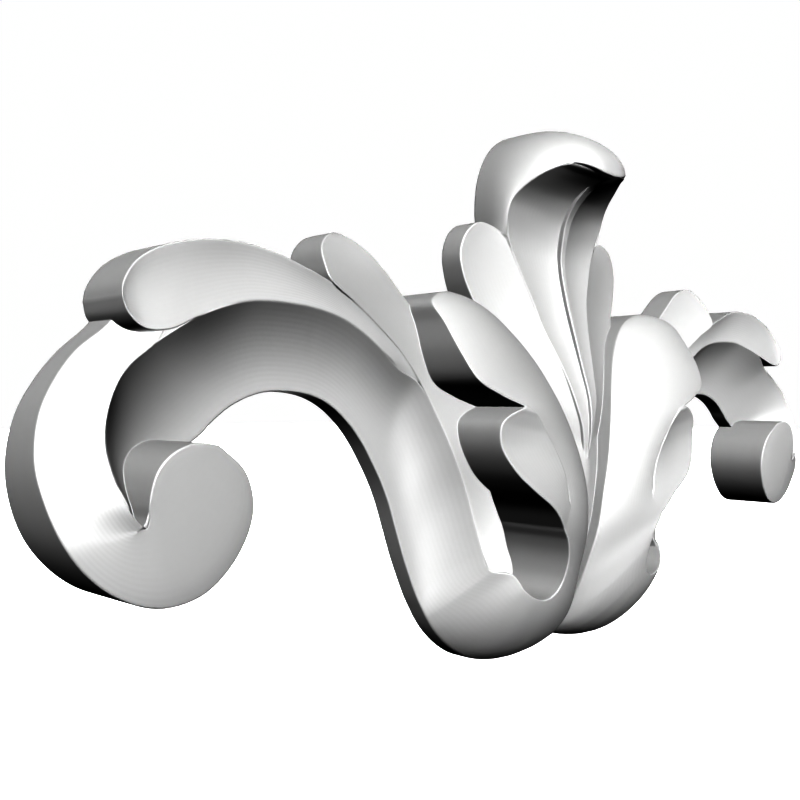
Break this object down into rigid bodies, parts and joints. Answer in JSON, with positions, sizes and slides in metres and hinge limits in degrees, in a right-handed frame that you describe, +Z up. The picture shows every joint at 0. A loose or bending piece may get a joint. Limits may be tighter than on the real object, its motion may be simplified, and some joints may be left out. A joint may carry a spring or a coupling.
{
  "type": "carved onlay",
  "caption": "Symmetrical carved onlay: arching acanthus scrolls with flat volute ends on either side of a fluted centre leaf with a curled-over tip; flat back for fixing.",
  "frame": {"origin": "on the flat back, on the centre line, level with the tops of the volutes", "axes": "+X across the onlay to the right as seen from the front, +Y into the surface it is fixed to, so the carving faces -Y, and +Z up towards the curled tip"},
  "size_m": [0.2996, 0.0309, 0.1436],
  "materials": {
    "grey_finish": "close-grained carving, sanded smooth and sealed in an even neutral grey with a satin sheen"
  },
  "bodies": {
    "root": {"carved_onlay": "grey_finish"}
  },
  "joints": []
}
